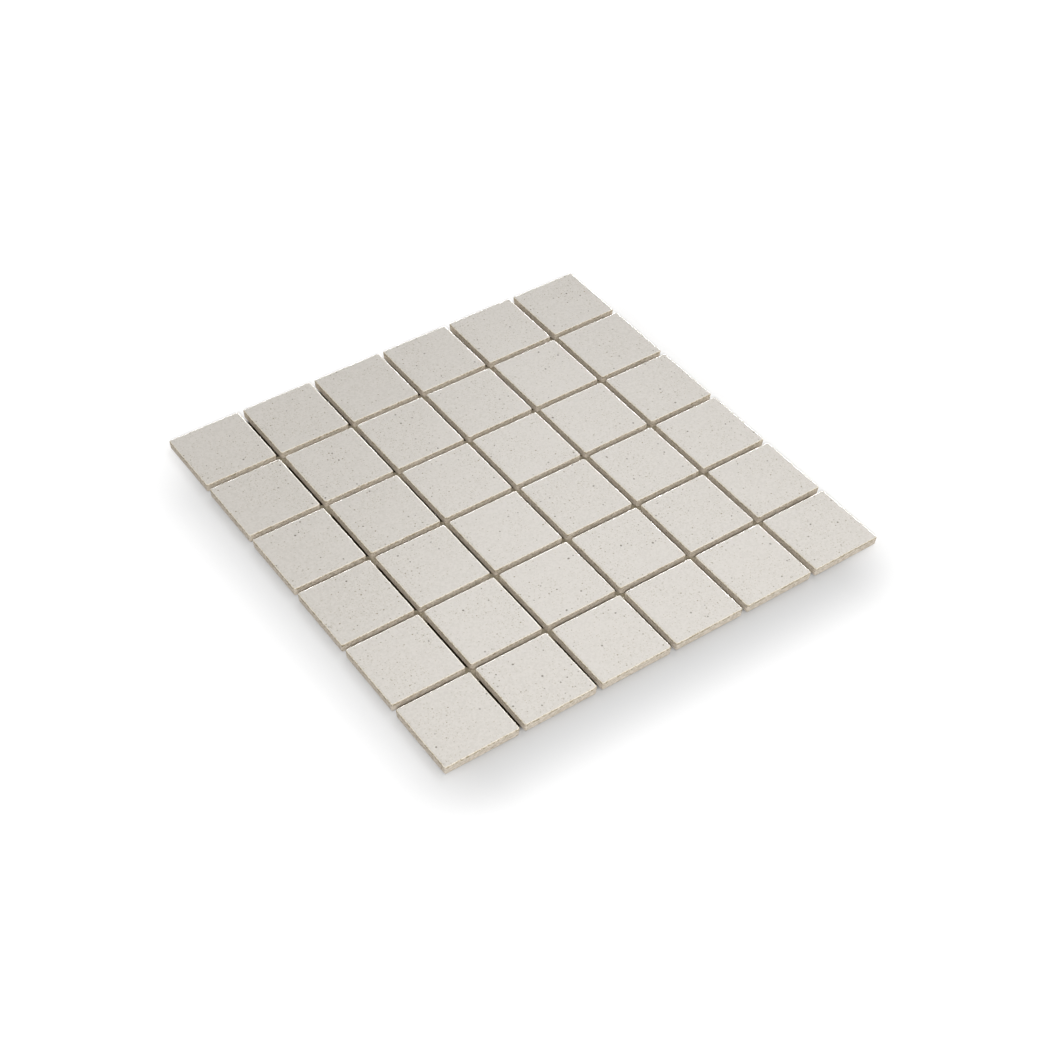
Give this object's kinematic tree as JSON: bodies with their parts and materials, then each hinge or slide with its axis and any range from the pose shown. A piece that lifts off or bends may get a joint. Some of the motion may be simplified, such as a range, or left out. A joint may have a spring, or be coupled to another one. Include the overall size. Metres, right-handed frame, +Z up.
{
  "type": "mosaic tile sheet",
  "caption": "Square speckled porcelain mosaic tiles in a flat sheet, joined by soft plastic dots under the crossings of their joints.",
  "frame": {"origin": "middle of the sheet, on the plane that the undersides of its joining dots rest on", "axes": "+X and +Y along the joints, parallel to the sheet's sides; +Z up, out of the tiles' faces"},
  "size_m": [0.303, 0.303, 0.0066],
  "materials": {
    "speckled_porcelain": "satin",
    "dot_plastic": "satin"
  },
  "bodies": {
    "root": {"tile_row1_col1": "speckled_porcelain", "tile_row1_col2": "speckled_porcelain", "tile_row1_col3": "speckled_porcelain", "tile_row1_col4": "speckled_porcelain", "tile_row1_col5": "speckled_porcelain", "tile_row1_col6": "speckled_porcelain", "tile_row2_col1": "speckled_porcelain", "tile_row2_col2": "speckled_porcelain", "tile_row2_col3": "speckled_porcelain", "tile_row2_col4": "speckled_porcelain", "tile_row2_col5": "speckled_porcelain", "tile_row2_col6": "speckled_porcelain", "tile_row3_col1": "speckled_porcelain", "tile_row3_col2": "speckled_porcelain", "tile_row3_col3": "speckled_porcelain", "tile_row3_col4": "speckled_porcelain", "tile_row3_col5": "speckled_porcelain", "tile_row3_col6": "speckled_porcelain", "tile_row4_col1": "speckled_porcelain", "tile_row4_col2": "speckled_porcelain", "tile_row4_col3": "speckled_porcelain", "tile_row4_col4": "speckled_porcelain", "tile_row4_col5": "speckled_porcelain", "tile_row4_col6": "speckled_porcelain", "tile_row5_col1": "speckled_porcelain", "tile_row5_col2": "speckled_porcelain", "tile_row5_col3": "speckled_porcelain", "tile_row5_col4": "speckled_porcelain", "tile_row5_col5": "speckled_porcelain", "tile_row5_col6": "speckled_porcelain", "tile_row6_col1": "speckled_porcelain", "tile_row6_col2": "speckled_porcelain", "tile_row6_col3": "speckled_porcelain", "tile_row6_col4": "speckled_porcelain", "tile_row6_col5": "speckled_porcelain", "tile_row6_col6": "speckled_porcelain", "joint_dots_row1": "dot_plastic", "joint_dots_row2": "dot_plastic", "joint_dots_row3": "dot_plastic", "joint_dots_row4": "dot_plastic", "joint_dots_row5": "dot_plastic"}
  },
  "joints": []
}
